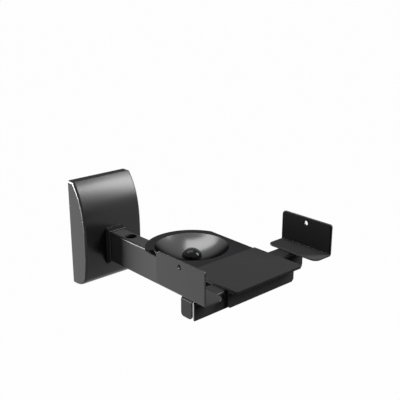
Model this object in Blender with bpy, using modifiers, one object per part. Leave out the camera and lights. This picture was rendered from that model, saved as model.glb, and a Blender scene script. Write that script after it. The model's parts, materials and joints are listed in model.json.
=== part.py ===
"""Speaker wall bracket: wall cover, channel arm, tilting and turning tray, two sliding clamps.

Metres, +Z up. The wall is the plane Y = 0 and the bracket stands out toward -Y, so a depth
from the wall is -Y. The origin is the middle of the wall plate's back face.
"""
import math

import bmesh
import bpy
from mathutils import Matrix, Vector

for old in list(bpy.data.objects):
    bpy.data.objects.remove(old, do_unlink=True)

MM = 0.001

# Clearances
seat_gap = 0.3 * MM
hole_clearance = 0.3 * MM
stop_clearance = 1.0 * MM

# How far a cutter runs past a face, and how near an edge lies to a plane that it is on
cut_past = 1 * MM
on_plane = 0.1 * MM

# Wall cover, a moulded shell with a collar
cover_width = 100 * MM
cover_height = 160 * MM
cover_wall = 2 * MM
cover_top_depth = 13.3 * MM
cover_depth = 38.3 * MM
cover_bottom_depth = 33.4 * MM
cover_deepest_height = -9.9 * MM
cover_bottom_round = 16 * MM
cover_bottom_flat = 6 * MM
cover_edge_round = 3 * MM
collar_wall = 1.3 * MM
collar_depth = 48.3 * MM
collar_top_slope = 0.24
collar_bottom_slope = 0.55
collar_edge_round = 0.6 * MM

# Wall plate
plate_thickness = 3 * MM
plate_end_gap = 10 * MM
plate_corner = 3 * MM
screw_slot_radius = 3.5 * MM
screw_slot_length = 12 * MM
screw_edge_x = 15.7 * MM
screw_edge_z = 14 * MM

# Arm, an inverted channel of folded sheet
arm_width = 25 * MM
arm_height = 44.7 * MM
arm_top = 4.2 * MM
arm_wall = 2.5 * MM
arm_bend = 3 * MM
arm_past_pivot = 37.3 * MM
arm_open_before_pivot = 84.7 * MM
arm_step_length = 17 * MM
arm_step_round = 3 * MM
arm_side_top = -1.7 * MM
arm_end_round = 12 * MM
cable_hole_radius = 8.6 * MM
cable_hole_depth = 80.7 * MM

# Pivot: the tray's bowl rocks about its own centre and turns on a bolt
pivot_depth = 212.7 * MM
tilt_limit = math.radians(15)
saddle_thickness = 3 * MM
saddle_radius = 30 * MM
saddle_rest_half_length = 27.5 * MM
bolt_radius = 4 * MM
bolt_across_flats = 13 * MM
bolt_head_height = 5.3 * MM
bolt_end_length = 1.5 * MM
tilt_plate_thickness = 3 * MM
tilt_plate_half_length = 15 * MM
bowl_washer_radius = 8.5 * MM
bowl_washer_height = 2 * MM
spring_washer_radius = 7 * MM
spring_washer_height = 2 * MM
spring_washer_split = 1.2 * MM
pivot_nut_height = 6.5 * MM
cap_radius = 13 * MM
cap_height = 11.2 * MM
cap_base_radius = 10.6 * MM
cap_wall = 1.2 * MM
cap_brim_height = 14.2 * MM

# Tray, one pressed sheet
tray_top = 28.3 * MM
tray_thickness = 2 * MM
tray_half_width = 55.8 * MM
tray_overhang = 13.5 * MM
tray_corner = 2 * MM
disc_radius = 60.5 * MM
bowl_radius = 48 * MM
bowl_depth = 20 * MM
bowl_rim_land = 1.2 * MM
notch_angle = math.radians(28.9)
notch_inner_gap = 0.3 * MM
notch_past_pivot = 2.3 * MM
pad_thickness = 0.7 * MM
pad_past_pivot = 58.3 * MM

# Front rail, an angle under the tray's front edge
rail_gap = 1 * MM
rail_bottom = 4.25 * MM
rail_leg = 8 * MM
rail_chamfer = 3 * MM
rail_side_inset = 0.1 * MM

# Sliders, folded sheet
sheet = 2 * MM
sheet_bend = 3 * MM
slider_inner = 54 * MM
slider_outer = 103 * MM
right_lane_past_pivot = 76.3 * MM
right_lane_width = 22.2 * MM
left_lane_width = 22.5 * MM
lane_gap = 0.3 * MM
slider_flange_bottom = 4.2 * MM
tab_bottom = 3.5 * MM
tab_slit = 3 * MM
tab_slit_depth = 5 * MM
tab_lap = 13 * MM
tab_corner = 4 * MM
travel_out = 42 * MM
stud_radius = 3 * MM
stud_first = 10 * MM
stud_spacing = 18 * MM
stud_head_radius = 4.5 * MM
stud_head_height = 0.8 * MM
stud_end_length = 1.6 * MM
slide_washer_radius = 6.5 * MM
slide_washer_height = 1.6 * MM
slide_nut_across_flats = 10 * MM
slide_nut_height = 5 * MM

# Clamps, bent plates with a pad inside
left_clamp_overhang = 1 * MM
right_clamp_overhang = 7 * MM
clamp_past_pivot = 57.8 * MM
clamp_length = 80 * MM
clamp_top = 67.5 * MM
clamp_foot = 30 * MM
clamp_hole_radius = 3.25 * MM
clamp_hole_drop = 7.5 * MM
clamp_rear_round = 5 * MM
clamp_front_round = 2.5 * MM
foot_round = 8.5 * MM
clamp_pad_thickness = 1 * MM
clamp_pad_inset = 1 * MM
foot_rivet_radius = 2 * MM
foot_rivet_head_radius = 3.5 * MM
foot_rivet_head_height = 1.5 * MM
foot_rivet_inset = 11 * MM
foot_rivet_spacing = 12 * MM
foot_rivet_bite = 1.2 * MM

# Worked out from the sizes above
half_cover = cover_height / 2
plate_height = cover_height - 2 * plate_end_gap
arm_start = plate_thickness + seat_gap
arm_end = pivot_depth + arm_past_pivot
arm_web_end = pivot_depth - arm_open_before_pivot
right_lane_rear = pivot_depth + right_lane_past_pivot
right_lane_front = right_lane_rear + right_lane_width
right_lane_middle = right_lane_rear + (right_lane_width - sheet) / 2
left_lane_rear = right_lane_front + lane_gap
left_lane_front = left_lane_rear + left_lane_width
left_lane_middle = left_lane_rear + (left_lane_width - sheet) / 2
rail_front = left_lane_front + rail_gap + sheet
tray_front = rail_front + tray_overhang
notch_front = pivot_depth + notch_past_pivot
pad_rear = pivot_depth + pad_past_pivot
clamp_rear = pivot_depth + clamp_past_pivot
left_clamp_reach = slider_outer + left_clamp_overhang
right_clamp_reach = slider_outer + right_clamp_overhang
foot_rivet_reach = slider_outer - foot_rivet_inset
tray_bottom = tray_top - tray_thickness
bowl_inner = (bowl_radius ** 2 + bowl_depth ** 2) / (2 * bowl_depth)
bowl_outer = bowl_inner + tray_thickness
pivot_height = tray_top + bowl_inner - bowl_depth
saddle_inner = bowl_outer + seat_gap
saddle_outer = saddle_inner + saddle_thickness
tilt_plate_inner = saddle_outer + seat_gap
tilt_plate_outer = tilt_plate_inner + tilt_plate_thickness
bolt_hole_radius = bolt_radius + hole_clearance
washer_top = pivot_height - bowl_inner + seat_gap + bowl_washer_height
spring_bottom = washer_top + seat_gap
nut_bottom = spring_bottom + spring_washer_height + seat_gap
bolt_top = nut_bottom + pivot_nut_height + bolt_end_length
bolt_seat = pivot_height - tilt_plate_outer - seat_gap
slider_top = tray_bottom - seat_gap
slider_bottom = slider_top - sheet
foot_bottom = slider_top + seat_gap
foot_top = foot_bottom + sheet

cutters = bpy.data.collections.new("cutters")
bracket = bpy.data.collections.new("speaker_wall_bracket")
for group in (bracket, cutters):
    bpy.context.scene.collection.children.link(group)

# Planes that a flat outline is drawn in: plan (width, depth), side (depth, height)
# and front (width, height)
PLAN = Matrix(((1, 0, 0, 0), (0, -1, 0, 0), (0, 0, -1, 0), (0, 0, 0, 1)))
SIDE = Matrix(((0, 0, -1, 0), (-1, 0, 0, 0), (0, 1, 0, 0), (0, 0, 0, 1)))
FRONT = Matrix(((1, 0, 0, 0), (0, 0, -1, 0), (0, 1, 0, 0), (0, 0, 0, 1)))


def finish_material(name, colour, roughness, metallic=0.0):
    material = bpy.data.materials.new(name)
    material.use_nodes = True
    shader = material.node_tree.nodes["Principled BSDF"]
    shader.inputs["Base Color"].default_value = (*colour, 1)
    shader.inputs["Roughness"].default_value = roughness
    shader.inputs["Metallic"].default_value = metallic
    return material


black_paint = finish_material("black_paint", (0.028, 0.028, 0.030), 0.45)
cover_plastic = finish_material("cover_plastic", (0.045, 0.045, 0.047), 0.38)
cap_plastic = finish_material("cap_plastic", (0.010, 0.010, 0.011), 0.12)
black_foam = finish_material("black_foam", (0.014, 0.014, 0.015), 0.9)
tray_rubber = finish_material("tray_rubber", (0.040, 0.040, 0.042), 0.75)
zinc = finish_material("zinc", (0.55, 0.56, 0.58), 0.35, 1.0)


def keep(thing, name, material):
    """Make a finished piece of an object: its name, its material and its collection."""
    thing.name = name
    thing.data.name = name
    thing.data.materials.clear()
    thing.data.materials.append(material)
    for group in list(thing.users_collection):
        group.objects.unlink(thing)
    bracket.objects.link(thing)
    return thing


def hide_cutter(thing, name):
    """Make a cutter of an object: it shapes a piece and isn't a piece itself."""
    thing.name = name
    thing.hide_render = True
    thing.display_type = "WIRE"
    for group in list(thing.users_collection):
        group.objects.unlink(thing)
    cutters.objects.link(thing)
    return thing


def cut(piece, cutter, operation="DIFFERENCE"):
    hide_cutter(cutter, cutter.name)
    step = piece.modifiers.new(cutter.name, "BOOLEAN")
    step.operation = operation
    step.solver = "EXACT"
    step.object = cutter


def rounded(corners, steps=6):
    """Points of a closed outline from its corners, each (x, y, radius of its rounding)."""
    points = []
    for i, (x, y, radius) in enumerate(corners):
        here = Vector((x, y))
        if radius == 0:
            points.append(here)
            continue
        before = (Vector(corners[i - 1][:2]) - here).normalized()
        after = (Vector(corners[(i + 1) % len(corners)][:2]) - here).normalized()
        half = before.angle(after) / 2
        centre = here + (before + after).normalized() * radius / math.sin(half)
        start = here + before * radius / math.tan(half) - centre
        end = here + after * radius / math.tan(half) - centre
        first = math.atan2(start.y, start.x)
        sweep = (math.atan2(end.y, end.x) - first + math.pi) % (2 * math.pi) - math.pi
        for k in range(steps + 1):
            turn = first + sweep * k / steps
            points.append(centre + radius * Vector((math.cos(turn), math.sin(turn))))
    return points


def arc(x, y, radius, first, last, steps):
    """Points on an arc, both ends included."""
    turns = [first + (last - first) * k / steps for k in range(steps + 1)]
    return [Vector((x + radius * math.cos(turn), y + radius * math.sin(turn))) for turn in turns]


def circle(x, y, radius, steps=32):
    return arc(x, y, radius, 0, 2 * math.pi, steps)[:-1]


def stadium(x, y, radius, half_length, steps=10):
    """A slot's outline, long in the first direction."""
    right = arc(x + half_length, y, radius, -math.pi / 2, math.pi / 2, steps)
    left = arc(x - half_length, y, radius, math.pi / 2, 3 * math.pi / 2, steps)
    return right + left


def flipped(points):
    """The same outline with its two directions swapped."""
    return [Vector((y, x)) for x, y in points]


def bezier(a, b, c, d, steps):
    """Points on a cubic curve, both ends included."""
    points = []
    for k in range(steps + 1):
        t = k / steps
        s = 1 - t
        points.append(a * s ** 3 + 3 * b * s * s * t + 3 * c * s * t * t + d * t ** 3)
    return points


def extruded(name, loops, thickness, view, middle):
    """A flat outline, with any holes, given a thickness about its middle and made a mesh."""
    drawing = bpy.data.curves.new(name, "CURVE")
    drawing.dimensions = "2D"
    drawing.fill_mode = "BOTH"
    drawing.extrude = thickness / 2
    for loop in loops:
        spline = drawing.splines.new("POLY")
        spline.points.add(len(loop) - 1)
        spline.use_cyclic_u = True
        for point, (x, y) in zip(spline.points, loop):
            point.co = (x, y, 0, 1)
    guide = bpy.data.objects.new(name + "_outline", drawing)
    bpy.context.scene.collection.objects.link(guide)
    guide.matrix_world = Matrix.Translation(middle) @ view
    bpy.context.view_layer.update()
    depsgraph = bpy.context.evaluated_depsgraph_get()
    mesh = bpy.data.meshes.new_from_object(guide.evaluated_get(depsgraph))
    work = bmesh.new()
    work.from_mesh(mesh)
    bmesh.ops.remove_doubles(work, verts=work.verts, dist=0.00001)
    bmesh.ops.dissolve_limit(work, angle_limit=0.001, verts=work.verts, edges=work.edges)
    bmesh.ops.recalc_face_normals(work, faces=work.faces)
    work.to_mesh(mesh)
    work.free()
    solid = bpy.data.objects.new(name, mesh)
    bpy.context.scene.collection.objects.link(solid)
    solid.matrix_world = guide.matrix_world
    bpy.data.objects.remove(guide, do_unlink=True)
    return solid


def block(name, x_range, depth_range, z_range):
    """A box between two widths, two depths from the wall and two heights."""
    low = Vector((min(x_range), -max(depth_range), min(z_range)))
    high = Vector((max(x_range), -min(depth_range), max(z_range)))
    bpy.ops.mesh.primitive_cube_add(size=1, location=(low + high) / 2)
    solid = bpy.context.object
    solid.data.transform(Matrix.Diagonal((*(high - low), 1)))
    solid.name = name
    return solid


def rod(name, radius, z_range, x, depth, sides=32):
    """A round or many-sided upright rod."""
    bpy.ops.mesh.primitive_cylinder_add(
        vertices=sides, radius=radius, depth=z_range[1] - z_range[0],
        location=(x, -depth, sum(z_range) / 2))
    solid = bpy.context.object
    solid.name = name
    return solid


def hexagon_radius(across_flats):
    return across_flats / 2 / math.cos(math.pi / 6)


def turned(name, profile, x, depth, steps=56, ring=True):
    """A profile of (radius, height) points turned about an upright axis."""
    mesh = bpy.data.meshes.new(name)
    count = len(profile)
    edges = [(i, (i + 1) % count) for i in range(count if ring else count - 1)]
    mesh.from_pydata([(radius, 0, height) for radius, height in profile], edges, [])
    solid = bpy.data.objects.new(name, mesh)
    bpy.context.scene.collection.objects.link(solid)
    solid.location = (x, -depth, 0)
    turn = solid.modifiers.new("turn", "SCREW")
    turn.steps = steps
    turn.render_steps = steps
    turn.use_merge_vertices = True
    turn.merge_threshold = 0.00001
    return solid


def round_edges(piece, choose, segments):
    """Bevel the edges for which choose(middle, direction) gives a radius, in world space."""
    mesh = piece.data
    place = piece.matrix_world
    radii = []
    for edge in mesh.edges:
        start, end = (place @ mesh.vertices[v].co for v in edge.vertices)
        radii.append(choose((start + end) / 2, (end - start).normalized()))
    largest = max(radii)
    weights = mesh.attributes.new("bevel_weight_edge", "FLOAT", "EDGE")
    for weight, radius in zip(weights.data, radii):
        weight.value = radius / largest
    bevel = piece.modifiers.new("round", "BEVEL")
    bevel.limit_method = "WEIGHT"
    bevel.width = largest
    bevel.segments = segments


def smooth(piece, angle=40):
    piece.data.shade_smooth()
    piece.data.set_sharp_from_angle(angle=math.radians(angle))


def sphere_height(radius, at):
    """Height of a sphere about the pivot's centre, on its lower side, at a distance from the axis."""
    return pivot_height - math.sqrt(radius ** 2 - at ** 2)


def sphere_arc(radius, inner, outer, steps):
    """Profile points on the lower side of a sphere about the pivot's centre."""
    first = math.asin(inner / radius)
    last = math.asin(outer / radius)
    turns = [first + (last - first) * k / steps for k in range(steps + 1)]
    return [(radius * math.sin(t), pivot_height - radius * math.cos(t)) for t in turns]


def cover_outline(inset):
    """The cover's side, from the wall at the top to the wall at the bottom."""
    def at(depth, height):
        return Vector((depth, height))

    top = half_cover - inset
    bottom = -half_cover + inset
    deepest = cover_depth - inset
    corner = cover_bottom_round - inset
    low_front = at(cover_bottom_depth - inset, -half_cover + cover_bottom_round)
    fall = top - cover_deepest_height
    front = bezier(
        at(cover_top_depth - inset / 2, top),
        at(cover_top_depth + 0.8 * (cover_depth - cover_top_depth) - inset, top - 0.27 * fall),
        at(deepest, top - 0.54 * fall),
        at(deepest, cover_deepest_height), 14)
    drop = cover_deepest_height - low_front.y
    lower = bezier(
        at(deepest, cover_deepest_height),
        at(deepest, cover_deepest_height - 0.48 * drop),
        at(cover_bottom_depth + 0.85 * (cover_depth - cover_bottom_depth) - inset,
           cover_deepest_height - 0.63 * drop),
        low_front, 10)
    round_corner = bezier(
        low_front,
        low_front + at(-0.15 * corner, -0.7 * corner),
        at(cover_bottom_flat + corner / 2, bottom),
        at(cover_bottom_flat, bottom), 8)
    return [at(-inset, top)] + front + lower[1:] + round_corner[1:] + [at(-inset, bottom)]


def make_wall_plate():
    half_width = cover_width / 2 - cover_wall - seat_gap
    half_height = plate_height / 2
    loops = [rounded([(x * half_width, z * half_height, plate_corner)
                      for x, z in ((-1, -1), (1, -1), (1, 1), (-1, 1))], 3)]
    for side in (-1, 1):
        for end in (-1, 1):
            slot = stadium(end * (half_height - screw_edge_z), side * (half_width - screw_edge_x),
                           screw_slot_radius, screw_slot_length / 2 - screw_slot_radius, 8)
            loops.append(flipped(slot))
    plate = extruded("wall_plate", loops, plate_thickness, FRONT, (0, -plate_thickness / 2, 0))
    keep(plate, "wall_plate", black_paint)


def make_wall_cover():
    half_width = cover_width / 2
    cover = extruded("wall_cover", [cover_outline(0)], cover_width, SIDE, (0, 0, 0))

    def side_edge(middle, direction):
        on_side = abs(abs(middle.x) - half_width) < on_plane
        return cover_edge_round if on_side and middle.y < -on_plane else 0

    round_edges(cover, side_edge, 4)
    collar_top = arm_top + seat_gap + collar_wall
    collar_bottom = arm_top - arm_height - seat_gap - collar_wall
    collar_root = cover_depth / 2
    collar_length = collar_depth - collar_root
    collar = extruded("collar", [[
        Vector((collar_root, collar_bottom - collar_bottom_slope * collar_length)),
        Vector((collar_depth, collar_bottom)), Vector((collar_depth, collar_top)),
        Vector((collar_root, collar_top + collar_top_slope * collar_length))]],
        arm_width + 2 * (seat_gap + collar_wall), SIDE, (0, 0, 0))

    def collar_front(middle, direction):
        return collar_edge_round if abs(middle.y + collar_depth) < on_plane else 0

    round_edges(collar, collar_front, 2)
    cut(cover, collar, "UNION")
    hollow = extruded("cover_hollow", [cover_outline(cover_wall)], cover_width - 2 * cover_wall,
                      SIDE, (0, 0, 0))
    cut(cover, hollow)
    mouth_x = arm_width / 2 + seat_gap
    mouth = block("collar_mouth", (-mouth_x, mouth_x), (cover_depth / 4, collar_depth + cut_past),
                  (arm_top - arm_height - seat_gap, arm_top + seat_gap))
    cut(cover, mouth)
    keep(cover, "wall_cover", cover_plastic)
    smooth(cover)


def arm_side_outline():
    """The arm's side: full height to the web's end, a step down, and a cradle for the saddle."""
    bottom = arm_top - arm_height
    cradle_radius = saddle_outer + seat_gap
    half_angle = math.asin(saddle_rest_half_length / cradle_radius)
    cradle = arc(pivot_depth, pivot_height, cradle_radius,
                 -math.pi / 2 - half_angle, -math.pi / 2 + half_angle, 16)
    step_end = arm_web_end + arm_step_length
    step = bezier(Vector((arm_web_end, arm_top)), Vector((arm_web_end + arm_step_round, arm_top)),
                  Vector((arm_web_end + arm_step_round, arm_side_top)), Vector((step_end, arm_side_top)), 6)
    foot_before = Vector((pivot_depth - saddle_rest_half_length, arm_side_top))
    foot_after = Vector((pivot_depth + saddle_rest_half_length, arm_side_top))
    end_corner = arc(arm_end - arm_end_round, bottom + arm_end_round, arm_end_round, 0, -math.pi / 2, 6)
    return ([Vector((arm_start, bottom)), Vector((arm_start, arm_top))] + step + [foot_before] + cradle
            + [foot_after, Vector((arm_end, arm_side_top))] + end_corner)


def make_arm():
    half = arm_width / 2
    bottom = arm_top - arm_height
    inner_bend = arm_bend - arm_wall
    section = rounded([
        (-half, bottom, 0), (-half, arm_top, arm_bend), (half, arm_top, arm_bend), (half, bottom, 0),
        (half - arm_wall, bottom, 0), (half - arm_wall, arm_top - arm_wall, inner_bend),
        (arm_wall - half, arm_top - arm_wall, inner_bend), (arm_wall - half, bottom, 0)], 4)
    channel = extruded("arm", [section], arm_end - arm_start, FRONT, (0, -(arm_start + arm_end) / 2, 0))
    ears = [block("arm_ear", (side * half, side * (half - arm_wall)),
                  (pivot_depth - saddle_rest_half_length, pivot_depth + saddle_rest_half_length),
                  (arm_side_top - arm_wall, sphere_height(saddle_outer, saddle_rest_half_length)))
            for side in (-1, 1)]
    for ear in ears:
        cut(channel, ear, "UNION")
    open_top = block("arm_open_top", (arm_wall - half, half - arm_wall),
                     (arm_web_end + arm_step_length, arm_end + arm_wall),
                     (bottom, sphere_height(bowl_inner, 0)))
    cut(channel, open_top)
    outline = extruded("arm_side", [arm_side_outline()], 2 * arm_width, SIDE, (0, 0, 0))
    cut(channel, outline, "INTERSECT")
    hole = rod("arm_cable_hole", cable_hole_radius, (0, 2 * arm_top), 0, cable_hole_depth, 40)
    cut(channel, hole)
    keep(channel, "arm", black_paint)
    smooth(channel)


def make_arm_saddle():
    profile = sphere_arc(saddle_inner, 0, saddle_radius, 8)
    profile += reversed(sphere_arc(saddle_outer, 0, saddle_radius, 8))
    saddle = turned("arm_saddle", profile, 0, pivot_depth, ring=False)
    swing = saddle_outer * math.sin(tilt_limit) + bolt_radius / math.cos(tilt_limit) + hole_clearance
    slot_loop = flipped(stadium(pivot_depth, 0, bolt_hole_radius, swing - bolt_hole_radius))
    low = sphere_height(saddle_outer, 0) - saddle_thickness
    slot = extruded("saddle_slot", [slot_loop], 4 * bolt_radius, PLAN,
                    (0, 0, low + 2 * bolt_radius))
    cut(saddle, slot)
    keep(saddle, "arm_saddle", black_paint)
    smooth(saddle)


def make_tilt_plate():
    outer = tilt_plate_half_length
    profile = sphere_arc(tilt_plate_inner, 0, outer, 4)
    profile += reversed(sphere_arc(tilt_plate_outer, 0, outer, 4))
    plate = turned("tilt_plate", profile, 0, pivot_depth, 40, ring=False)
    half = arm_width / 2 - arm_wall - seat_gap
    between = block("tilt_plate_sides", (-half, half), (pivot_depth - outer, pivot_depth + outer),
                    (bolt_seat - outer, pivot_height - tilt_plate_inner + outer))
    cut(plate, between, "INTERSECT")
    bore = rod("tilt_plate_bore", bolt_hole_radius, (bolt_seat - outer, bolt_seat + outer), 0, pivot_depth)
    cut(plate, bore)
    keep(plate, "tilt_plate", zinc)
    smooth(plate)


def make_pivot_bolt():
    overlap = cut_past
    head = rod("pivot_bolt", hexagon_radius(bolt_across_flats),
               (bolt_seat - bolt_head_height, bolt_seat), 0, pivot_depth, 6)
    shank = rod("pivot_bolt_shank", bolt_radius, (bolt_seat - overlap, bolt_top), 0, pivot_depth)
    cut(head, shank, "UNION")
    keep(head, "pivot_bolt", zinc)
    smooth(head)


def make_pivot_washers():
    seat = bowl_inner - seat_gap
    below = sphere_arc(seat, bolt_hole_radius, bowl_washer_radius, 3)
    profile = [(bolt_hole_radius, washer_top)] + [(bowl_washer_radius, washer_top)] + below[::-1]
    washer = turned("bowl_washer", profile, 0, pivot_depth, 40)
    keep(washer, "bowl_washer", zinc)
    smooth(washer)
    spring_top = spring_bottom + spring_washer_height
    ring = [(bolt_hole_radius, spring_top), (spring_washer_radius, spring_top),
            (spring_washer_radius, spring_bottom), (bolt_hole_radius, spring_bottom)]
    spring = turned("spring_washer", ring, 0, pivot_depth, 32)
    split = block("spring_washer_split", (0, 2 * spring_washer_radius),
                  (pivot_depth - spring_washer_split / 2, pivot_depth + spring_washer_split / 2),
                  (spring_bottom - seat_gap, spring_top + seat_gap))
    cut(spring, split)
    keep(spring, "spring_washer", zinc)
    smooth(spring)


def make_nut(name, across_flats, bottom, height, bore, x, depth):
    nut = rod(name, hexagon_radius(across_flats), (bottom, bottom + height), x, depth, 6)
    cut(nut, rod(name + "_bore", bore, (bottom - height, bottom + 2 * height), x, depth, 24))
    keep(nut, name, zinc)
    smooth(nut)


def make_dome_cap():
    base = sphere_height(bowl_inner, cap_base_radius) + seat_gap
    inner_base = bowl_washer_radius + seat_gap
    quarter = [math.pi / 2 * k / 10 for k in range(11)]
    outside = [(cap_radius * math.sin(t), cap_brim_height + cap_height * math.cos(t)) for t in quarter]
    inside = [((cap_radius - cap_wall) * math.sin(t), cap_brim_height + (cap_height - cap_wall) * math.cos(t))
              for t in quarter]
    profile = outside + [(cap_base_radius, base), (inner_base, base)] + inside[::-1]
    cap = turned("dome_cap", profile, 0, pivot_depth, 48, ring=False)
    keep(cap, "dome_cap", cap_plastic)
    smooth(cap)


def tray_outline():
    """The tray seen from above: round rear, straight sides and a notch behind on the left."""
    kink = math.asin(math.sqrt(1 - (tray_half_width / disc_radius) ** 2))
    notch_radius = bowl_radius + bowl_rim_land + notch_inner_gap
    notch_turn = math.asin((notch_front - pivot_depth) / notch_radius)
    corners = rounded([(tray_half_width, tray_front, tray_corner),
                       (-tray_half_width, tray_front, tray_corner),
                       (-tray_half_width, notch_front, 0)], 6)
    notch = arc(0, pivot_depth, notch_radius, math.pi - notch_turn, math.pi + notch_angle, 6)
    rear = arc(0, pivot_depth, disc_radius, math.pi + notch_angle, 2 * math.pi - kink, 26)
    return corners + notch + rear


def stud_places():
    """Name, width and depth of each slide stud."""
    places = []
    for side_name, side, middle in (("left", -1, left_lane_middle), ("right", 1, right_lane_middle)):
        for place_name, reach in (("inner", stud_first), ("outer", stud_first + stud_spacing)):
            places.append((side_name + "_" + place_name, side * reach, middle))
    return places


def make_tray():
    rim = bowl_radius + bowl_rim_land
    loops = [tray_outline(), circle(0, pivot_depth, rim - 0.5 * bowl_rim_land, 56)]
    tray = extruded("tray", loops, tray_thickness, PLAN, (0, 0, tray_top - tray_thickness / 2))
    outer_rim = math.sqrt(bowl_outer ** 2 - (pivot_height - tray_bottom) ** 2)
    profile = [(rim, tray_top)] + [(rim, tray_bottom)]
    profile += reversed(sphere_arc(bowl_outer, bolt_hole_radius, outer_rim, 10))
    profile += sphere_arc(bowl_inner, bolt_hole_radius, bowl_radius, 10)
    bowl = turned("tray_bowl", profile, 0, pivot_depth, 56)
    cut(tray, bowl, "UNION")
    for name, x, depth in stud_places():
        cut(tray, rod("tray_hole_" + name, stud_radius + hole_clearance,
                      (tray_bottom - cut_past, tray_top + cut_past), x, depth, 24))
        cut(tray, rod("tray_pocket_" + name, stud_head_radius + hole_clearance,
                      (tray_top - stud_head_height - hole_clearance, tray_top + cut_past), x, depth, 24))
    keep(tray, "tray", black_paint)
    smooth(tray)


def make_tray_pad():
    half = tray_half_width - seat_gap
    front = tray_front - seat_gap
    corner = tray_corner - seat_gap
    loop = rounded([(-half, pad_rear, 0), (half, pad_rear, 0), (half, front, corner),
                    (-half, front, corner)], 6)
    middle = tray_top + seat_gap + pad_thickness / 2
    pad = extruded("tray_pad", [loop], pad_thickness, PLAN, (0, 0, middle))
    keep(pad, "tray_pad", tray_rubber)


def make_front_rail():
    rear = rail_front - sheet
    section = rounded([(rear, rail_bottom, 0), (rail_front, rail_bottom, 0),
                       (rail_front, slider_bottom, sheet_bend - sheet),
                       (rail_front + rail_leg, slider_bottom, 0), (rail_front + rail_leg, slider_top, 0),
                       (rear, slider_top, sheet_bend)], 4)
    width = 2 * (tray_half_width - rail_side_inset)
    rail = extruded("front_rail", [section], width, SIDE, (0, 0, 0))

    def lower_corner(middle, direction):
        low = abs(middle.z - rail_bottom) < on_plane
        return rail_chamfer if low and abs(direction.y) > 0.9 else 0

    round_edges(rail, lower_corner, 1)
    keep(rail, "front_rail", black_paint)
    smooth(rail)


def make_slide_fixings():
    for name, x, depth in stud_places():
        washer_low = slider_bottom - seat_gap - slide_washer_height
        nut_low = washer_low - seat_gap - slide_nut_height
        stud = rod(name + "_stud", stud_head_radius, (tray_top - stud_head_height, tray_top), x, depth)
        shank = rod(name + "_shank", stud_radius,
                    (nut_low - stud_end_length, tray_top - stud_head_height / 2), x, depth, 24)
        cut(stud, shank, "UNION")
        keep(stud, name + "_stud", zinc)
        smooth(stud)
        bore = stud_radius + hole_clearance
        top = washer_low + slide_washer_height
        ring = [(bore, top), (slide_washer_radius, top), (slide_washer_radius, washer_low),
                (bore, washer_low)]
        washer = turned(name + "_washer", ring, x, depth, 24)
        keep(washer, name + "_washer", zinc)
        smooth(washer)
        make_nut(name + "_nut", slide_nut_across_flats, nut_low, slide_nut_height, bore, x, depth)


def travel_in(clamp_reach):
    """How far a clamp can go in before its foot meets the tray's side edge."""
    return clamp_reach - clamp_foot - tray_half_width - stop_clearance


def rivet_places(lane_middle):
    return (("rear", lane_middle - foot_rivet_spacing / 2), ("front", lane_middle + foot_rivet_spacing / 2))


def make_slider(side_name, side, rear, front, lane_middle, clamp_reach):
    """A folded rail: flat top with a slot, front flange, and a tab bent down at its outer end."""
    name = side_name + "_slider"
    inner_bend = sheet_bend - sheet
    section = rounded([(rear, slider_top, 0), (front, slider_top, sheet_bend),
                       (front, slider_flange_bottom, 0), (front - sheet, slider_flange_bottom, 0),
                       (front - sheet, slider_bottom, inner_bend), (rear, slider_bottom, 0)], 4)
    length = slider_inner + slider_outer
    middle = side * (slider_outer - slider_inner) / 2
    slider = extruded(name, [section], length, SIDE, (middle, 0, 0))
    tab_front = front - sheet - tab_slit
    slit = block(name + "_slit", (side * (slider_outer - tab_slit_depth), side * (slider_outer + cut_past)),
                 (rear - cut_past, front - sheet), (slider_flange_bottom - cut_past, slider_top + cut_past))
    cut(slider, slit)
    tab_section = rounded([(side * (slider_outer - tab_lap), slider_top, 0),
                           (side * slider_outer, slider_top, sheet_bend),
                           (side * slider_outer, tab_bottom, 0),
                           (side * (slider_outer - sheet), tab_bottom, 0),
                           (side * (slider_outer - sheet), slider_bottom, inner_bend),
                           (side * (slider_outer - tab_lap), slider_bottom, 0)], 4)
    tab = extruded(name + "_tab", [tab_section], tab_front - rear, FRONT,
                   (0, -(rear + tab_front) / 2, 0))

    def tab_lower_corner(middle, direction):
        low = abs(middle.z - tab_bottom) < on_plane
        return tab_corner if low and abs(direction.x) > 0.9 else 0

    round_edges(tab, tab_lower_corner, 4)
    cut(slider, tab, "UNION")
    slot_inner = stud_first - stud_radius - hole_clearance - travel_out
    slot_outer = stud_first + stud_spacing + stud_radius + hole_clearance + travel_in(clamp_reach)
    slot_radius = stud_radius + hole_clearance
    slot_loop = stadium(side * (slot_inner + slot_outer) / 2, lane_middle, slot_radius,
                        (slot_outer - slot_inner) / 2 - slot_radius)
    cut(slider, extruded(name + "_slot", [slot_loop], 4 * sheet, PLAN, (0, 0, slider_top)))
    for place, depth in rivet_places(lane_middle):
        cut(slider, rod(name + "_hole_" + place, foot_rivet_radius + hole_clearance,
                        (slider_bottom - cut_past, slider_top + cut_past),
                        side * foot_rivet_reach, depth, 20))
    keep(slider, name, black_paint)
    smooth(slider)


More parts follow.
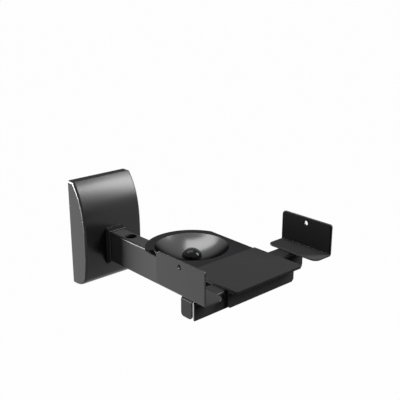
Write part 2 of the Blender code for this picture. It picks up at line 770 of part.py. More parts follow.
def make_clamp(side_name, side, lane_middle, reach):
    """A plate bent at its foot, which lies on the slider."""
    name = side_name + "_clamp"
    front = clamp_rear + clamp_length
    middle_depth = (clamp_rear + front) / 2
    inner_bend = sheet_bend - sheet
    inner_face = reach - sheet
    foot_end = reach - clamp_foot
    section = rounded([(side * foot_end, foot_bottom, 0), (side * reach, foot_bottom, sheet_bend),
                       (side * reach, clamp_top, 0), (side * inner_face, clamp_top, 0),
                       (side * inner_face, foot_top, inner_bend), (side * foot_end, foot_top, 0)], 5)
    clamp = extruded(name, [section], clamp_length, FRONT, (0, -middle_depth, 0))

    def corners(middle, direction):
        if abs(middle.z - clamp_top) < on_plane and abs(direction.x) > 0.9:
            return clamp_rear_round if -middle.y < middle_depth else clamp_front_round
        if abs(direction.z) > 0.9 and abs(abs(middle.x) - foot_end) < on_plane:
            return foot_round
        return 0

    round_edges(clamp, corners, 5)
    hole_height = clamp_top - clamp_hole_drop
    hole_loop = circle(middle_depth, hole_height, clamp_hole_radius, 28)
    cut(clamp, extruded(name + "_hole", [hole_loop], 4 * sheet, SIDE, (side * reach, 0, 0)))
    for place, depth in rivet_places(lane_middle):
        cut(clamp, rod(name + "_hole_" + place, foot_rivet_radius + hole_clearance,
                       (foot_bottom - cut_past, foot_bottom + foot_rivet_bite),
                       side * foot_rivet_reach, depth, 20))
    keep(clamp, name, black_paint)
    smooth(clamp)
    pad_rear_edge = clamp_rear + clamp_pad_inset
    pad_front_edge = front - clamp_pad_inset
    pad_bottom = foot_top + sheet_bend - sheet + seat_gap
    pad_top = clamp_top - clamp_pad_inset
    pad_loop = rounded([(pad_rear_edge, pad_bottom, 0), (pad_front_edge, pad_bottom, 0),
                        (pad_front_edge, pad_top, clamp_front_round),
                        (pad_rear_edge, pad_top, clamp_rear_round)], 5)
    pad_middle = inner_face - seat_gap - clamp_pad_thickness / 2
    pad = extruded(name + "_pad", [pad_loop, hole_loop], clamp_pad_thickness, SIDE,
                   (side * pad_middle, 0, 0))
    keep(pad, name + "_pad", black_foam)


def make_foot_rivets(side_name, side, lane_middle):
    for place, depth in rivet_places(lane_middle):
        name = side_name + "_" + place + "_rivet"
        head_top = slider_bottom - seat_gap
        rivet = rod(name, foot_rivet_head_radius, (head_top - foot_rivet_head_height, head_top),
                    side * foot_rivet_reach, depth, 24)
        shank_top = foot_bottom + foot_rivet_bite - hole_clearance
        shank = rod(name + "_shank", foot_rivet_radius, (head_top - foot_rivet_head_height / 2, shank_top),
                    side * foot_rivet_reach, depth, 20)
        cut(rivet, shank, "UNION")
        keep(rivet, name, black_paint)
        smooth(rivet)


def make_axis(name, place, carried, parent=None):
    """An empty on a joint's axis, which carries the pieces that move with it."""
    axis = bpy.data.objects.new(name, None)
    bracket.objects.link(axis)
    axis.location = place
    bpy.context.view_layer.update()
    if parent:
        axis.parent = parent
        axis.matrix_parent_inverse = parent.matrix_world.inverted()
    bpy.context.view_layer.update()
    for piece_name in carried:
        piece = bpy.data.objects[piece_name]
        piece.parent = axis
        piece.matrix_parent_inverse = axis.matrix_world.inverted()
    return axis


make_wall_plate()
make_wall_cover()
make_arm()
make_arm_saddle()
make_tilt_plate()
make_pivot_bolt()
make_pivot_washers()
make_nut("pivot_nut", bolt_across_flats, nut_bottom, pivot_nut_height, bolt_hole_radius, 0, pivot_depth)
make_dome_cap()
make_tray()
make_tray_pad()
make_front_rail()
make_slide_fixings()
make_slider("left", -1, left_lane_rear, left_lane_front, left_lane_middle, left_clamp_reach)
make_slider("right", 1, right_lane_rear, right_lane_front, right_lane_middle, right_clamp_reach)
make_clamp("left", -1, left_lane_middle, left_clamp_reach)
make_clamp("right", 1, right_lane_middle, right_clamp_reach)
make_foot_rivets("left", -1, left_lane_middle)
make_foot_rivets("right", 1, right_lane_middle)

tilt = make_axis("tilt_axis", (0, -pivot_depth, pivot_height),
                 ["pivot_bolt", "tilt_plate", "bowl_washer", "spring_washer", "pivot_nut", "dome_cap"])
fixings = [name + kind for name, x, depth in stud_places() for kind in ("_stud", "_washer", "_nut")]
swivel = make_axis("swivel_axis", (0, -pivot_depth, tray_top),
                   ["tray", "tray_pad", "front_rail"] + fixings, tilt)
for side_name, side, lane_middle in (("left", -1, left_lane_middle), ("right", 1, right_lane_middle)):
    moving = ["_slider", "_clamp", "_clamp_pad", "_rear_rivet", "_front_rivet"]
    make_axis(side_name + "_slide_axis", (side * stud_first, -lane_middle, slider_top),
              [side_name + kind for kind in moving], swivel)
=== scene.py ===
import json
import math

import bpy
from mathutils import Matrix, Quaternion, Vector


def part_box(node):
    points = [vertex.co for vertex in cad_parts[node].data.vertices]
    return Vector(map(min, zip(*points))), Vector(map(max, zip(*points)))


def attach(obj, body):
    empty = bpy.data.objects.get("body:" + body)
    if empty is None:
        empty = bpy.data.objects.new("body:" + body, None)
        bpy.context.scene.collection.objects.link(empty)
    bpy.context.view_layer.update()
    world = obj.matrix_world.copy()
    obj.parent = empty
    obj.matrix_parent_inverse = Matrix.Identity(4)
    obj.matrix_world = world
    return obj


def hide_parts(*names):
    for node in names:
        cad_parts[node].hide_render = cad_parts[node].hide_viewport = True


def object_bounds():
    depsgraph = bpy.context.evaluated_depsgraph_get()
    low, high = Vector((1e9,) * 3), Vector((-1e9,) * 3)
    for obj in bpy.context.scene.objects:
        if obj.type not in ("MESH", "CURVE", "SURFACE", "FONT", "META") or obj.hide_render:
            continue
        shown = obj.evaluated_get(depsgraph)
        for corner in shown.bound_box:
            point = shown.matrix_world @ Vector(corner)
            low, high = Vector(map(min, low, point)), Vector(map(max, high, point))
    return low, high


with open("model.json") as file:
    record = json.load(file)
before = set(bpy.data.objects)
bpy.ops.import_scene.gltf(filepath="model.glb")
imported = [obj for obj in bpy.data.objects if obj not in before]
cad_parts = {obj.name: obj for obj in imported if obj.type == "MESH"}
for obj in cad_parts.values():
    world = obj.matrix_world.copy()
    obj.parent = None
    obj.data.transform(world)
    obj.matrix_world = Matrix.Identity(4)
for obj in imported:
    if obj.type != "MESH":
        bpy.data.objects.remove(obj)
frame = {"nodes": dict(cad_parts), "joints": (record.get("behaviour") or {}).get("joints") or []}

cad_low, cad_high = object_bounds()

# Camera and studio.
# The photograph looks at the bracket from the left of its front and a little above.
# The floor is pale and far below, and the background is white to the eye and in reflections.
camera_data = bpy.data.cameras.new("photo_camera")
camera_data.lens = 61.94
camera_data.sensor_width = 36
camera = bpy.data.objects.new("photo_camera", camera_data)
bpy.context.scene.collection.objects.link(camera)
camera.location = (-0.54433, -0.83227, 0.35610)
camera.rotation_euler = (math.radians(72.15), 0, math.radians(-42.03))
bpy.context.scene.camera = camera
bpy.context.scene.view_settings.view_transform = "Standard"


def seen_share(tree):
    """A socket that is 1 for rays of the camera, of reflections and of glass, else 0."""
    path = tree.nodes.new("ShaderNodeLightPath")
    total = path.outputs["Is Camera Ray"]
    for name in ("Is Glossy Ray", "Is Transmission Ray"):
        either = tree.nodes.new("ShaderNodeMath")
        either.operation = "MAXIMUM"
        tree.links.new(total, either.inputs[0])
        tree.links.new(path.outputs[name], either.inputs[1])
        total = either.outputs[0]
    return total


studio_world = bpy.data.worlds.new("studio_world")
bpy.context.scene.world = studio_world
studio_world.use_nodes = True
world_tree = studio_world.node_tree
room_light = world_tree.nodes["Background"]
room_light.inputs["Color"].default_value = (1, 1, 1, 1)
room_light.inputs["Strength"].default_value = 0.03
white_light = world_tree.nodes.new("ShaderNodeBackground")
white_light.inputs["Color"].default_value = (1, 1, 1, 1)
white_light.inputs["Strength"].default_value = 1.0
world_mix = world_tree.nodes.new("ShaderNodeMixShader")
world_tree.links.new(seen_share(world_tree), world_mix.inputs["Fac"])
world_tree.links.new(room_light.outputs[0], world_mix.inputs[1])
world_tree.links.new(white_light.outputs[0], world_mix.inputs[2])
world_tree.links.new(world_mix.outputs[0], world_tree.nodes["World Output"].inputs["Surface"])

bracket_middle = Vector((0, -0.2, 0))
floor_drop = 2.2
floor_size = 220
floor_white_share = 0.985
bpy.ops.object.select_all(action="DESELECT")
bpy.ops.mesh.primitive_plane_add(
    size=floor_size, location=(bracket_middle.x, bracket_middle.y, cad_low.z - floor_drop))
studio_floor = bpy.context.object
studio_floor.name = "studio_floor"
pale_floor = bpy.data.materials.new("pale_floor")
pale_floor.use_nodes = True
floor_tree = pale_floor.node_tree
floor_paint = floor_tree.nodes["Principled BSDF"]
floor_paint.inputs["Base Color"].default_value = (0.8, 0.8, 0.8, 1)
floor_paint.inputs["Roughness"].default_value = 0.9
floor_paint.inputs["Specular IOR Level"].default_value = 0.0
floor_white = floor_tree.nodes.new("ShaderNodeEmission")
floor_white.inputs["Strength"].default_value = 1.0
floor_share = floor_tree.nodes.new("ShaderNodeMath")
floor_share.operation = "MULTIPLY"
floor_share.inputs[1].default_value = floor_white_share
floor_mix = floor_tree.nodes.new("ShaderNodeMixShader")
floor_tree.links.new(seen_share(floor_tree), floor_share.inputs[0])
floor_tree.links.new(floor_share.outputs[0], floor_mix.inputs["Fac"])
floor_tree.links.new(floor_paint.outputs[0], floor_mix.inputs[1])
floor_tree.links.new(floor_white.outputs[0], floor_mix.inputs[2])
floor_tree.links.new(floor_mix.outputs[0], floor_tree.nodes["Material Output"].inputs["Surface"])
studio_floor.data.materials.append(pale_floor)


def soft_lamp(name, toward, distance, width, height, level, turn=0):
    """An area lamp in a direction from the bracket. Its level is the light on a face turned to it."""
    lamp_data = bpy.data.lights.new(name, "AREA")
    lamp_data.shape = "RECTANGLE"
    lamp_data.size = width
    lamp_data.size_y = height
    lamp_data.energy = level * (math.pi * distance) ** 2
    lamp = bpy.data.objects.new(name, lamp_data)
    bpy.context.scene.collection.objects.link(lamp)
    away = Vector(toward).normalized()
    lamp.location = bracket_middle + away * distance
    aim = (-away).to_track_quat("-Z", "Y")
    lamp.rotation_euler = (aim @ Quaternion((0, 0, 1), math.radians(turn))).to_euler()


soft_lamp("left_softbox", toward=(-0.50, 0.866, 0.0), distance=2.0, width=0.9, height=0.9, level=4.4)
soft_lamp("right_softbox", toward=(0.665, -0.54, 0.52), distance=1.7, width=0.42, height=1.0, level=1.35)
soft_lamp("top_softbox", toward=(-0.05, 0.32, 0.946), distance=1.6, width=1.5, height=1.0, level=0.8,
          turn=-45)


# Wall plate.
# A flat steel plate with four upright screw slots in black powder coat. It is screwed to the wall,
# the arm is welded to its middle and the moulded cover snaps over it.
def only(piece):
    """Select one object alone and make it active."""
    bpy.ops.object.select_all(action="DESELECT")
    piece.select_set(True)
    bpy.context.view_layer.objects.active = piece


def refined(node, name, rounding, segments=2, bend=30):
    """A copy of a CAD solid with its triangles joined to faces and its edges rounded."""
    same_point = 0.00002
    same_plane = math.radians(1.5)
    piece = bpy.data.objects.new(name, frame["nodes"][node].data.copy())
    bpy.context.scene.collection.objects.link(piece)
    piece.data.materials.clear()
    only(piece)
    bpy.ops.object.mode_set(mode="EDIT")
    bpy.ops.mesh.select_all(action="SELECT")
    bpy.ops.mesh.remove_doubles(threshold=same_point)
    bpy.ops.mesh.dissolve_limited(angle_limit=same_plane)
    bpy.ops.object.mode_set(mode="OBJECT")
    bpy.ops.object.modifier_add(type="BEVEL")
    bevel = piece.modifiers[-1]
    bevel.width = rounding
    bevel.segments = segments
    bevel.limit_method = "ANGLE"
    bevel.angle_limit = math.radians(bend)
    bevel.miter_outer = "MITER_ARC"
    bpy.ops.object.modifier_apply(modifier=bevel.name)
    even_shading(piece, bend)
    return piece


def even_shading(piece, bend=30):
    """Smooth over bends and flat on the flats, by weighting normals with the faces' areas."""
    bpy.ops.object.shade_smooth_by_angle(angle=math.radians(bend))
    bpy.ops.object.modifier_add(type="WEIGHTED_NORMAL")
    weighted = piece.modifiers[-1]
    weighted.keep_sharp = True
    bpy.ops.object.modifier_apply(modifier=weighted.name)


def dressed(piece, body, node, slot, *materials):
    """Give a piece its body and its materials, and hide the CAD node it stands for. The slot is not used.
    """
    for material in materials:
        piece.data.materials.append(material)
    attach(piece, body)
    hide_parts(node)


def new_group(name, numbers, outputs):
    """A node group whose inputs are numbers with their usual values."""
    group = bpy.data.node_groups.new(name, "ShaderNodeTree")
    for label, usual in numbers.items():
        socket = group.interface.new_socket(label, in_out="INPUT", socket_type="NodeSocketFloat")
        socket.default_value = usual
    for label in outputs:
        group.interface.new_socket(label, in_out="OUTPUT", socket_type="NodeSocketFloat")
    entry = group.nodes.new("NodeGroupInput")
    out = group.nodes.new("NodeGroupOutput")
    return group, entry, out


grain_group, grain_in, grain_out = new_group(
    "surface_grain", {"Grain Scale": 900.0, "Patch Scale": 14.0}, ("Grain", "Patches"))
grain_place = grain_group.nodes.new("ShaderNodeTexCoord")
fine_noise = grain_group.nodes.new("ShaderNodeTexNoise")
fine_noise.inputs["Detail"].default_value = 3
fine_noise.inputs["Roughness"].default_value = 0.6
patch_noise = grain_group.nodes.new("ShaderNodeTexNoise")
patch_noise.inputs["Detail"].default_value = 2
grain_group.links.new(grain_place.outputs["Object"], fine_noise.inputs["Vector"])
grain_group.links.new(grain_place.outputs["Object"], patch_noise.inputs["Vector"])
grain_group.links.new(grain_in.outputs["Grain Scale"], fine_noise.inputs["Scale"])
grain_group.links.new(grain_in.outputs["Patch Scale"], patch_noise.inputs["Scale"])
grain_group.links.new(fine_noise.outputs["Fac"], grain_out.inputs["Grain"])
grain_group.links.new(patch_noise.outputs["Fac"], grain_out.inputs["Patches"])


def grained(name, dark, light, rough, grain_scale, bump, specular=0.5, metallic=0.0):
    """A finish whose grey and roughness drift between two values, with a fine grain as bump."""
    grain_depth = 0.0002
    finish = bpy.data.materials.new(name)
    finish.use_nodes = True
    tree = finish.node_tree
    shader = tree.nodes["Principled BSDF"]
    shader.inputs["Metallic"].default_value = metallic
    shader.inputs["Specular IOR Level"].default_value = specular
    grain = tree.nodes.new("ShaderNodeGroup")
    grain.node_tree = grain_group
    grain.inputs["Grain Scale"].default_value = grain_scale
    colour = tree.nodes.new("ShaderNodeMix")
    colour.data_type = "RGBA"
    colour.inputs["A"].default_value = (*dark, 1)
    colour.inputs["B"].default_value = (*light, 1)
    gloss = tree.nodes.new("ShaderNodeMapRange")
    gloss.inputs["To Min"].default_value = rough[0]
    gloss.inputs["To Max"].default_value = rough[1]
    relief = tree.nodes.new("ShaderNodeBump")
    relief.inputs["Strength"].default_value = bump
    relief.inputs["Distance"].default_value = grain_depth
    tree.links.new(grain.outputs["Patches"], colour.inputs["Factor"])
    tree.links.new(grain.outputs["Patches"], gloss.inputs["Value"])
    tree.links.new(grain.outputs["Grain"], relief.inputs["Height"])
    tree.links.new(colour.outputs["Result"], shader.inputs["Base Color"])
    tree.links.new(gloss.outputs["Result"], shader.inputs["Roughness"])
    tree.links.new(relief.outputs["Normal"], shader.inputs["Normal"])
    return finish


arm_coat = grained("arm_powder_coat", dark=(0.047, 0.047, 0.048), light=(0.053, 0.053, 0.054),
                   rough=(0.5, 0.6), grain_scale=1100, bump=0.1, specular=0.0)
plate = refined("wall_plate", "wall_plate_coated", rounding=0.0004)
dressed(plate, "wall", "wall_plate", "black_paint", arm_coat)

# Wall cover.
# A shell moulded in black plastic with a soft satin gloss. It snaps over the wall plate, its back
# edge stands on the wall and its flared collar closes round the arm.
# The plastic comes in three copies: a lighter one on the side faces, as painted light, and darker ones on
# the front and top faces, as painted shade.
cover_front_painted_shade = grained("cover_front_plastic", dark=(0.008, 0.008, 0.009), light=(0.011, 0.011, 0.012),
                      rough=(0.23, 0.27), grain_scale=1400, bump=0.05, specular=0.28)
cover_top_painted_shade = grained("cover_top_plastic", dark=(0.015, 0.015, 0.016), light=(0.018, 0.018, 0.019),
                    rough=(0.5, 0.6), grain_scale=1400, bump=0.1, specular=0.01)
cover_side_painted_light = grained("cover_side_plastic", dark=(0.044, 0.044, 0.045), light=(0.050, 0.050, 0.051),
                     rough=(0.5, 0.6), grain_scale=1400, bump=0.1, specular=0.0)
cover = refined("wall_cover", "cover_shell", rounding=0.0005)
dressed(cover, "wall", "wall_cover", "cover_plastic", cover_front_painted_shade, cover_side_painted_light, cover_top_painted_shade)
# Faces turned to the side take the copy with painted light and faces turned up take a copy with painted
# shade. The rest keep the darker front copy with painted shade.
side_turned = 0.99
top_turned = 0.9
for face in cover.data.polygons:
    if abs(face.normal.x) > side_turned:
        face.material_index = 1
    if face.normal.z > top_turned:
        face.material_index = 2

# Arm.
# An inverted channel of 2.5 mm steel sheet in black powder coat, with a round hole in its top for
# the cable. The coat is dull on the flats and shinier where the sheet is bent or drawn.
bent_coat = grained("bent_powder_coat", dark=(0.022, 0.022, 0.023), light=(0.026, 0.026, 0.027),
                    rough=(0.26, 0.32), grain_scale=1100, bump=0.04, specular=0.08)
along_axis = 0.995


def coated(node, body, flat_coat, bend_coat):
    """A sheet steel piece, with the shinier coat on every face that lies askew."""
    piece = refined(node, node + "_coated", rounding=0.0003)
    dressed(piece, body, node, "black_paint", flat_coat, bend_coat)
    for face in piece.data.polygons:
        if max(abs(part) for part in face.normal) < along_axis:
            face.material_index = 1
    return piece


coated("arm", "wall", arm_coat, bent_coat)

# Arm saddle.
# A pressed dish that the tray's bowl turns and tilts on, with a long slot for the bolt. Two weld
# beads hold it on the arm's cradle.
coated("arm_saddle", "wall", arm_coat, bent_coat)
tilt_centre = Vector(next(joint["pos_m"] for joint in frame["joints"] if joint["name"] == "tilt"))


def weld_bead(name, points, radius, body):
    """A rippled bead of weld along a row of points, thin at its ends and coated with the sheet."""
    ripple = 0.84
    thin_end = 0.4
    drawing = bpy.data.curves.new(name, "CURVE")
    drawing.dimensions = "3D"
    drawing.bevel_depth = radius
    drawing.bevel_resolution = 3
    drawing.use_fill_caps = True
    spline = drawing.splines.new("POLY")
    spline.points.add(len(points) - 1)
    for i, point in enumerate(points):
        spline.points[i].co = (*point, 1)
        spline.points[i].radius = 1.0 if i % 2 else ripple
    spline.points[0].radius = thin_end
    spline.points[-1].radius = thin_end
    bead = bpy.data.objects.new(name, drawing)
    bpy.context.scene.collection.objects.link(bead)
    only(bead)
    bpy.ops.object.convert(target="MESH")
    bpy.ops.object.shade_smooth()
    bead.data.materials.append(bent_coat)
    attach(bead, body)


arm_low, arm_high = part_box("arm")
saddle_low, saddle_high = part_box("arm_saddle")
cradle_radius = tilt_centre.z - saddle_low.z
cradle_half_angle = math.radians(20)
cradle_steps = 40
bead_radius = 0.0011
for side_name, x in (("left", arm_low.x), ("right", arm_high.x)):
    turns = [cradle_half_angle * (2 * k / cradle_steps - 1) for k in range(cradle_steps + 1)]
    row = [(x, tilt_centre.y + cradle_radius * math.sin(turn),
            tilt_centre.z - cradle_radius * math.cos(turn)) for turn in turns]
    weld_bead(side_name + "_saddle_weld", row, bead_radius, "wall")

# Pivot bolt.
# An M8 hexagon bolt, zinc plated, put up through tilt plate, saddle and bowl. Its head is
# chamfered and its thread ends just above the nut.
def shaped_by(piece, tool, operation):
    """Apply a boolean to a piece and take its tool away."""
    only(piece)
    bpy.ops.object.modifier_add(type="BOOLEAN")
    step = piece.modifiers[-1]
    step.operation = operation
    step.solver = "EXACT"
    step.object = tool
    bpy.ops.object.modifier_apply(modifier=step.name)
    bpy.data.objects.remove(tool, do_unlink=True)


def joined(piece, other):
    """Make another object part of a piece's mesh."""
    only(piece)
    other.select_set(True)
    bpy.ops.object.join()


def place_in_mesh():
    """Move the selected object's place into its mesh."""
    bpy.ops.object.transform_apply(location=True, rotation=False, scale=False)


def hexagon(name, across_flats, low, high, centre, chamfered_ends):
    """A hexagonal prism whose corners are turned off at 30 degrees at the ends that are named."""
    chamfer = math.radians(30)
    cone_sides = 72
    height = high - low
    middle = (centre.x, centre.y, (low + high) / 2)
    flat_radius = across_flats / 2
    corner_radius = flat_radius / math.cos(math.pi / 6)
    wide_radius = flat_radius + height / math.tan(chamfer)
    bpy.ops.object.select_all(action="DESELECT")
    bpy.ops.mesh.primitive_cylinder_add(vertices=6, radius=corner_radius, depth=height, location=middle)
    piece = bpy.context.object
    piece.name = name
    for end in chamfered_ends:
        radii = (wide_radius, flat_radius) if end == "top" else (flat_radius, wide_radius)
        bpy.ops.object.select_all(action="DESELECT")
        bpy.ops.mesh.primitive_cone_add(
            vertices=cone_sides, radius1=radii[0], radius2=radii[1], depth=height, location=middle)
        shaped_by(piece, bpy.context.object, "INTERSECT")
    return piece


def threaded_rod(name, radius, pitch, low, high, centre):
    """A core as wide as the thread's root, with one tooth wound round it nearly from end to end."""
    round_steps = 32
    same_point = 0.000002
    tooth_height = 0.54 * pitch
    crest_width = 0.1 * pitch
    foot_sunk = 0.0001
    root = radius - tooth_height
    tooth_foot = root - foot_sunk
    middle = (centre.x, centre.y, (low + high) / 2)
    bpy.ops.object.select_all(action="DESELECT")
    bpy.ops.mesh.primitive_cylinder_add(
        vertices=round_steps, radius=root, depth=high - low, location=middle)
    core = bpy.context.object
    core.name = name
    place_in_mesh()
    rounds = int((high - low) / pitch) - 1
    start = low + ((high - low) - (rounds + 1) * pitch) / 2
    crest_low = start + (pitch - crest_width) / 2
    crest_high = crest_low + crest_width
    mesh = bpy.data.meshes.new(name + "_tooth")
    mesh.from_pydata([(tooth_foot, 0, start), (radius, 0, crest_low),
                      (radius, 0, crest_high), (tooth_foot, 0, start + pitch)],
                     [(0, 1), (1, 2), (2, 3)], [])
    helix = bpy.data.objects.new(name + "_tooth", mesh)
    bpy.context.scene.collection.objects.link(helix)
    only(helix)
    bpy.ops.object.modifier_add(type="SCREW")
    screw = helix.modifiers[-1]
    screw.screw_offset = pitch
    screw.iterations = rounds
    screw.steps = round_steps
    screw.render_steps = round_steps
    screw.use_merge_vertices = True
    screw.merge_threshold = same_point
    bpy.ops.object.modifier_apply(modifier=screw.name)
    helix.location = (centre.x, centre.y, 0)
    place_in_mesh()
    joined(core, helix)
    return core


zinc_plate = grained("zinc_plate", dark=(0.42, 0.43, 0.45), light=(0.55, 0.56, 0.58),
                     rough=(0.3, 0.45), grain_scale=700, bump=0.1, specular=0.5, metallic=1.0)
bolt_low, bolt_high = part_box("pivot_bolt")
bolt_centre = (bolt_low + bolt_high) / 2
bolt_radius = 0.004
bolt_pitch = 0.00125
bolt_across_flats = bolt_high.x - bolt_low.x
bolt_head_height = 0.0053
bolt_head_top = bolt_low.z + bolt_head_height
shank_overlap = 0.0002
bolt = hexagon("pivot_bolt_zinc", bolt_across_flats, bolt_low.z, bolt_head_top, bolt_centre, ["bottom"])
place_in_mesh()
joined(bolt, threaded_rod("bolt_shank", bolt_radius, bolt_pitch, bolt_head_top - shank_overlap,
                          bolt_high.z, bolt_centre))
even_shading(bolt)
dressed(bolt, "pivot", "pivot_bolt", "zinc", zinc_plate)

# Tilt plate.
# A small curved steel plate under the saddle, between the arm's walls, that the bolt pulls up. It
# is pressed from sheet and zinc plated.
tilt_plate = refined("tilt_plate", "tilt_plate_zinc", rounding=0.0004)
dressed(tilt_plate, "pivot", "tilt_plate", "zinc", zinc_plate)

# Bowl washer, spring washer and pivot nut.
# Zinc plated steel fasteners on the bolt. They lie in the bowl under the cap and press the bowl on
# the saddle.
bowl_washer = refined("bowl_washer", "bowl_washer_zinc", rounding=0.0003)
dressed(bowl_washer, "pivot", "bowl_washer", "zinc", zinc_plate)
spring_washer = refined("spring_washer", "spring_washer_zinc", rounding=0.0002)
dressed(spring_washer, "pivot", "spring_washer", "zinc", zinc_plate)


def hexagon_nut(node, body, bore_radius):
    """A nut chamfered at both ends, with a countersunk bore, in the place of its CAD node."""
    low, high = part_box(node)
    centre = (low + high) / 2
    across_flats = min(high.x - low.x, high.y - low.y)
    bore_sides = 32
    wide = 1.4 * bore_radius
    narrow = 0.6 * bore_radius
    nut = hexagon(node + "_zinc", across_flats, low.z, high.z, centre, ["top", "bottom"])
    for height in (low.z, centre.z, high.z):
        bpy.ops.object.select_all(action="DESELECT")
        if height == centre.z:
            bpy.ops.mesh.primitive_cylinder_add(
                vertices=bore_sides, radius=bore_radius, depth=2 * (high.z - low.z), location=centre)
        else:
            radii = (wide, narrow) if height == low.z else (narrow, wide)
            bpy.ops.mesh.primitive_cone_add(
                vertices=bore_sides, radius1=radii[0], radius2=radii[1], depth=wide - narrow,
                location=(centre.x, centre.y, height))
        shaped_by(nut, bpy.context.object, "DIFFERENCE")
    place_in_mesh()
    even_shading(nut)
    dressed(nut, body, node, "zinc", zinc_plate)


hexagon_nut("pivot_nut", "pivot", bolt_radius)


# Dome cap.
# A glossy black plastic cap pressed over the nut. It is moulded hollow, is widest at its brim and
# stands in the bowl.
def spun(name, profile, centre, steps=64):
    """A profile of (radius, height) points spun about an upright axis through a centre."""
    same_point = 0.000005
    mesh = bpy.data.meshes.new(name)
    mesh.from_pydata([(centre.x + radius, centre.y, height) for radius, height in profile],
                     [(i, i + 1) for i in range(len(profile) - 1)], [])
    piece = bpy.data.objects.new(name, mesh)
    bpy.context.scene.collection.objects.link(piece)
    only(piece)
    bpy.ops.object.mode_set(mode="EDIT")
    bpy.ops.mesh.select_all(action="SELECT")
    bpy.ops.mesh.spin(
        steps=steps, angle=2 * math.pi, center=(centre.x, centre.y, 0), axis=(0, 0, 1))
    bpy.ops.mesh.select_all(action="SELECT")
    bpy.ops.mesh.remove_doubles(threshold=same_point)
    bpy.ops.mesh.normals_make_consistent(inside=False)
    bpy.ops.object.mode_set(mode="OBJECT")
    return piece


cap_low, cap_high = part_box("dome_cap")
cap_centre = (cap_low + cap_high) / 2
cap_radius = (cap_high.x - cap_low.x) / 2
cap_wall = 0.0012
cap_foot_radius = 0.0106
cap_height = 0.0112
cap_brim = cap_high.z - cap_height
quarter_steps = 20
quarter = [math.pi / 2 * k / quarter_steps for k in range(quarter_steps + 1)]


def cap_curve(radius, height):
    """The cap's crown as a quarter of an ellipse, from its top down to the brim."""
    return [(radius * math.sin(turn), cap_brim + height * math.cos(turn)) for turn in quarter]


brim_roll = [(cap_radius - inward, cap_brim - drop)
             for inward, drop in ((0.0002, 0.0008), (0.0009, 0.0016))]
cap_foot = [(cap_foot_radius, cap_low.z), (cap_foot_radius - cap_wall, cap_low.z)]
cap_outside = cap_curve(cap_radius, cap_height)
cap_inside = cap_curve(cap_radius - cap_wall, cap_height - cap_wall)
cap = spun("dome_cap_gloss", cap_outside + brim_roll + cap_foot + cap_inside[::-1], cap_centre)
even_shading(cap, bend=40)
cap_gloss = grained("cap_gloss", dark=(0.004, 0.004, 0.0045), light=(0.006, 0.006, 0.0065),
                    rough=(0.10, 0.14), grain_scale=500, bump=0.01, specular=0.12)
dressed(cap, "pivot", "dome_cap", "cap_plastic", cap_gloss)

# Tray.
# One pressed steel sheet with a round rear, a drawn bowl and a straight front part. The tray turns
# on the saddle, and four studs sit in its front part with their heads flush.
# The tray's flats take a darker copy of the black powder coat than the arm's: painted shade against the
# light on its top.
tray_coat_painted_shade = grained("tray_powder_coat_painted_shade", dark=(0.018, 0.018, 0.019), light=(0.021, 0.021, 0.022),
                    rough=(0.5, 0.6), grain_scale=1100, bump=0.1, specular=0.0)
bowl_coat = grained("bowl_powder_coat", dark=(0.085, 0.085, 0.086), light=(0.095, 0.095, 0.096),
                    rough=(0.20, 0.24), grain_scale=1100, bump=0.04, specular=0.5, metallic=1.0)
bowl_shader = bowl_coat.node_tree.nodes["Principled BSDF"]
bowl_shader.inputs["Specular Tint"].default_value = (0.15, 0.15, 0.15, 1)
tray = coated("tray", "tray", tray_coat_painted_shade, bent_coat)
tray.data.materials.append(bowl_coat)
bowl_radius = 0.0487
for face in tray.data.polygons:
    to_centre = tilt_centre - face.center
    askew = abs(face.normal.z) < along_axis
    if to_centre.xy.length < bowl_radius and askew and face.normal.dot(to_centre) > 0:
        face.material_index = 2

# Tray pad.
# A thin dark grey rubber mat glued on the straight front part, for the loudspeaker to stand on. Its
# underside is drawn down over the gap that the CAD leaves for the glue.
pad_rubber = grained("pad_rubber", dark=(0.030, 0.030, 0.031), light=(0.034, 0.034, 0.035),
                     rough=(0.7, 0.8), grain_scale=1500, bump=0.3, specular=0.0)
tray_pad = refined("tray_pad", "tray_pad_rubber", rounding=0.0003, segments=3)
pad_low, pad_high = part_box("tray_pad")
tray_low, tray_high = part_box("tray")
for vertex in tray_pad.data.vertices:
    if vertex.co.z < (pad_low.z + pad_high.z) / 2:
        vertex.co.z -= pad_low.z - tray_high.z
dressed(tray_pad, "tray", "tray_pad", "tray_rubber", pad_rubber)

# Front rail.
# An angle of 2 mm sheet under the tray's front edge that hides the sliders. Its top leg is welded
# to the tray's underside with three short beads.
# The rail and the sliders take a darker copy of the black powder coat than the arm's: painted shade where
# they lie under the tray.
slide_coat_painted_shade = grained("slide_powder_coat_painted_shade", dark=(0.033, 0.033, 0.034), light=(0.037, 0.037, 0.038),
                     rough=(0.5, 0.6), grain_scale=1100, bump=0.1, specular=0.0)
coated("front_rail", "tray", slide_coat_painted_shade, bent_coat)
rail_low, rail_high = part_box("front_rail")
tray_sheet = 0.002
bead_sunk = 0.0006
bead_height = tray_high.z - tray_sheet - bead_sunk
bead_spacing = 0.036
bead_step = 0.0012
for k in range(3):
    x = (k - 1) * bead_spacing
    row = [(x + bead_step * step, rail_low.y, bead_height) for step in range(-6, 7)]
    weld_bead(f"rail_weld_{k + 1}", row, bead_radius, "tray")

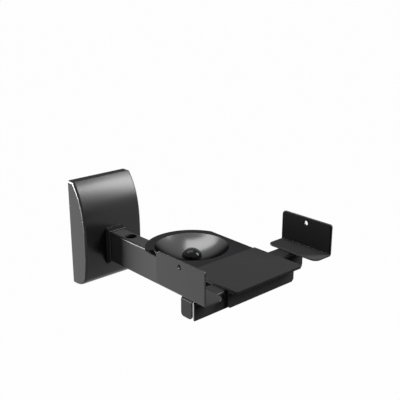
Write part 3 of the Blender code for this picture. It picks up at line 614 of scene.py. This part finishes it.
# Slide fixings.
# Each slider hangs on two M6 studs that are pressed into the tray, with a washer and a nut below.
# All of them are zinc plated steel.
stud_radius = 0.003
stud_pitch = 0.001
stud_head_height = 0.0008
stud_head_edge = 0.0003
for side_name in ("left", "right"):
    for place in ("inner", "outer"):
        stem = side_name + "_" + place
        stud_low, stud_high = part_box(stem + "_stud")
        stud_centre = (stud_low + stud_high) / 2
        head_radius = (stud_high.x - stud_low.x) / 2
        head_bottom = stud_high.z - stud_head_height
        head = [(0, stud_high.z), (head_radius - stud_head_edge, stud_high.z),
                (head_radius, stud_high.z - stud_head_edge), (head_radius, head_bottom), (0, head_bottom)]
        stud = spun(stem + "_stud_zinc", head, stud_centre, steps=40)
        joined(stud, threaded_rod(stem + "_shank", stud_radius, stud_pitch, stud_low.z,
                                  head_bottom + shank_overlap, stud_centre))
        even_shading(stud)
        dressed(stud, "tray", stem + "_stud", "zinc", zinc_plate)
        washer = refined(stem + "_washer", stem + "_washer_zinc", rounding=0.0002)
        dressed(washer, "tray", stem + "_washer", "zinc", zinc_plate)
        hexagon_nut(stem + "_nut", "tray", stud_radius)

# Sliders.
# Two folded rails of 2 mm sheet, each with a long slot for its studs, a flange in front and a tab
# bent down at the outer end.
# The sliders carry the darker coat with painted shade.
coated("left_slider", "left_clamp_slide", slide_coat_painted_shade, bent_coat)
coated("right_slider", "right_clamp_slide", slide_coat_painted_shade, bent_coat)

# Clamps.
# Two bent plates of 2 mm sheet that stand on the sliders' ends, with a round hole near the top for
# a screw into the loudspeaker's side.
clamp_bend_coat = grained("clamp_bend_coat", dark=(0.022, 0.022, 0.023), light=(0.026, 0.026, 0.027),
                          rough=(0.24, 0.30), grain_scale=1100, bump=0.04, specular=0.24)
coated("left_clamp", "left_clamp_slide", arm_coat, clamp_bend_coat)
coated("right_clamp", "right_clamp_slide", arm_coat, clamp_bend_coat)

# Clamp pads.
# Thin black foam rubber glued on the clamps' inner faces, cut out round the hole. The glued side is
# drawn out over the gap that the CAD leaves for the glue.
pad_foam = grained("pad_foam", dark=(0.006, 0.006, 0.0065), light=(0.009, 0.009, 0.0095),
                   rough=(0.8, 0.95), grain_scale=1500, bump=0.6, specular=0.02)
glue_gap = 0.0003
for side_name, outward in (("left", -1), ("right", 1)):
    node = side_name + "_clamp_pad"
    pad = refined(node, node + "_foam", rounding=0.0003, segments=3)
    pad_low, pad_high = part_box(node)
    for vertex in pad.data.vertices:
        if outward * (vertex.co.x - (pad_low.x + pad_high.x) / 2) > 0:
            vertex.co.x += outward * glue_gap
    dressed(pad, side_name + "_clamp_slide", node, "black_foam", pad_foam)

# Foot rivets.
# Blind rivets pressed up through each slider's end into the clamp's foot, with low domed heads
# below. They are coated with the sheet.
rivet_head_height = 0.0015
rivet_shank_radius = 0.002
for side_name in ("left", "right"):
    for place in ("rear", "front"):
        node = side_name + "_" + place + "_rivet"
        rivet_low, rivet_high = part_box(node)
        rivet_centre = (rivet_low + rivet_high) / 2
        head_radius = (rivet_high.x - rivet_low.x) / 2
        head_top = rivet_low.z + rivet_head_height
        dome = [(head_radius * math.sin(turn), head_top - rivet_head_height * math.cos(turn))
                for turn in quarter[::4]]
        rivet_shank = [(rivet_shank_radius, head_top), (rivet_shank_radius, rivet_high.z),
                       (0, rivet_high.z)]
        rivet = spun(node + "_coated", dome + rivet_shank, rivet_centre, steps=32)
        even_shading(rivet, bend=35)
        dressed(rivet, side_name + "_clamp_slide", node, "black_paint", bent_coat)
